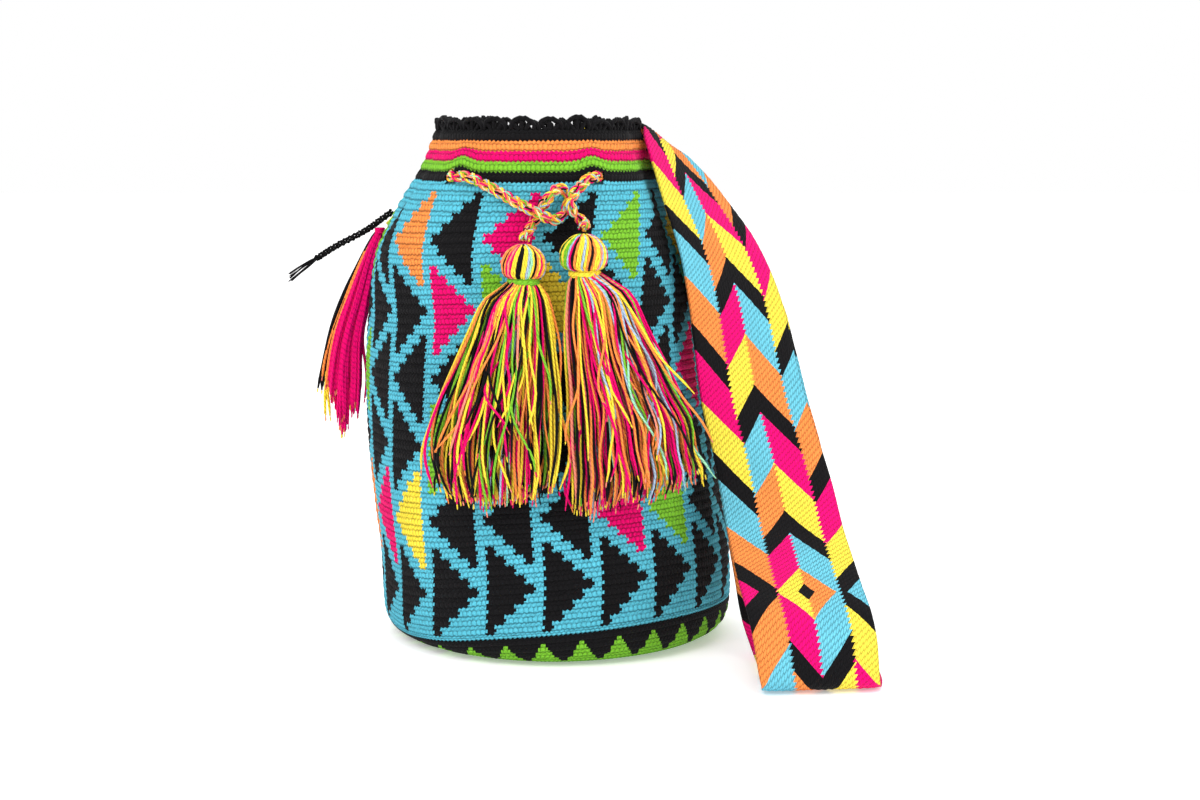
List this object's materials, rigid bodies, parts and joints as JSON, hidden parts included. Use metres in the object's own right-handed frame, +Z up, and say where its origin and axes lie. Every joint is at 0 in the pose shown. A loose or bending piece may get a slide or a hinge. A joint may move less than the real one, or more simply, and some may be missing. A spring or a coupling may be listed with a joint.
{
  "type": "wayuu mochila bag",
  "caption": "Crocheted bucket-shaped shoulder bag with a gathered mouth, braided drawstring with tassels, side fringe and a flat woven strap.",
  "frame": {"origin": "centre of the flat base, on the floor", "axes": "+Z up through the mouth, +X to the side where the strap hangs, -Y towards the front with the tassels"},
  "size_m": [0.3418, 0.2828, 0.3063],
  "materials": {
    "crochet_yarn": "matt crocheted acrylic yarn",
    "strap_weave": "matt woven acrylic yarn",
    "cord_yarn": "matt braided yarn",
    "tassel_yarn": "loose yarn strands",
    "tie_yarn": "wrapped yarn",
    "fringe_yarn": "loose yarn strands",
    "black_thread": "matt yarn"
  },
  "bodies": {
    "bag": {"bag_body": "crochet_yarn", "shoulder_strap": "strap_weave", "drawstring": "cord_yarn", "side_braid": "black_thread", "strap_seam_left": "black_thread", "strap_seam_right": "black_thread"},
    "left_tassel": {"tassel_left": "tassel_yarn", "tassel_left_tie": "tie_yarn"},
    "right_tassel": {"tassel_right": "tassel_yarn", "tassel_right_tie": "tie_yarn"},
    "fringe": {"side_fringe": "fringe_yarn"}
  },
  "joints": [
    {"name": "tassel_left_swing", "type": "hinge", "parent": "bag", "child": "left_tassel", "pos_m": [-0.0158, -0.1076, 0.2386], "axis": [-1, 0, 0], "range_deg": [0, 75]},
    {"name": "tassel_right_swing", "type": "hinge", "parent": "bag", "child": "right_tassel", "pos_m": [0.0169, -0.109, 0.2446], "axis": [-1, 0, 0], "range_deg": [0, 75]},
    {"name": "side_fringe_swing", "type": "hinge", "parent": "bag", "child": "fringe", "pos_m": [-0.1085, 0.014, 0.2385], "axis": [0, 1, 0], "range_deg": [0, 30]}
  ]
}
